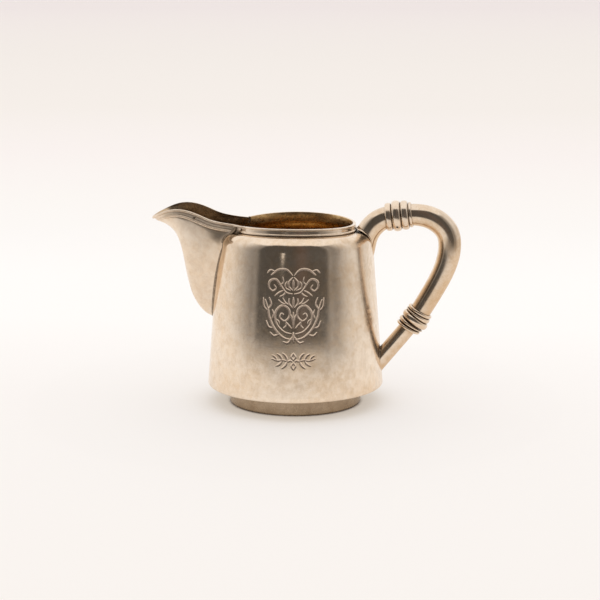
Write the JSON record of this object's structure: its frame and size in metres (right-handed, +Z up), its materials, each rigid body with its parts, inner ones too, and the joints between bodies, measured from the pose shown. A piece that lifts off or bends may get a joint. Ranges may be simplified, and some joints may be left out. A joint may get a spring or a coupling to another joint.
{
  "type": "cream jug",
  "caption": "Footed silver cream jug with a tapered body, a wide folded spout, moulded rim bands and a hollow tube handle with a ringed collar and a wire knot.",
  "frame": {"origin": "centre of the bottom of the bounding box, on the plane the foot stands on", "axes": "+X runs from the spout tip to the handle, +Y across the jug, +Z up; the axis of the round body is at x = -0.00415"},
  "size_m": [0.1262, 0.0722, 0.0837],
  "materials": {
    "body_silver": "polished silver with a fine worn satin",
    "trim_silver": "polished silver mouldings with dark grooves",
    "handle_silver": "polished silver tube",
    "foot_silver": "satin silver with brown tarnish",
    "gilt_silver": "gilt silver, worn"
  },
  "bodies": {
    "root": {"body_wall": "body_silver", "base_plate": "gilt_silver", "foot_ring": "foot_silver", "mouth_band": "trim_silver", "spout_shell": "body_silver", "spout_lip_band": "trim_silver", "handle_upper_branch": "handle_silver", "handle_bow": "handle_silver", "handle_lower_branch": "handle_silver", "collar_ring_inner": "trim_silver", "collar_ring_middle": "trim_silver", "collar_ring_outer": "trim_silver", "collar_edge_ring": "trim_silver", "knot_wire_1": "trim_silver", "knot_wire_2": "trim_silver", "knot_wire_3": "trim_silver", "knot_wire_4": "trim_silver", "knot_wire_5": "trim_silver"}
  },
  "joints": []
}
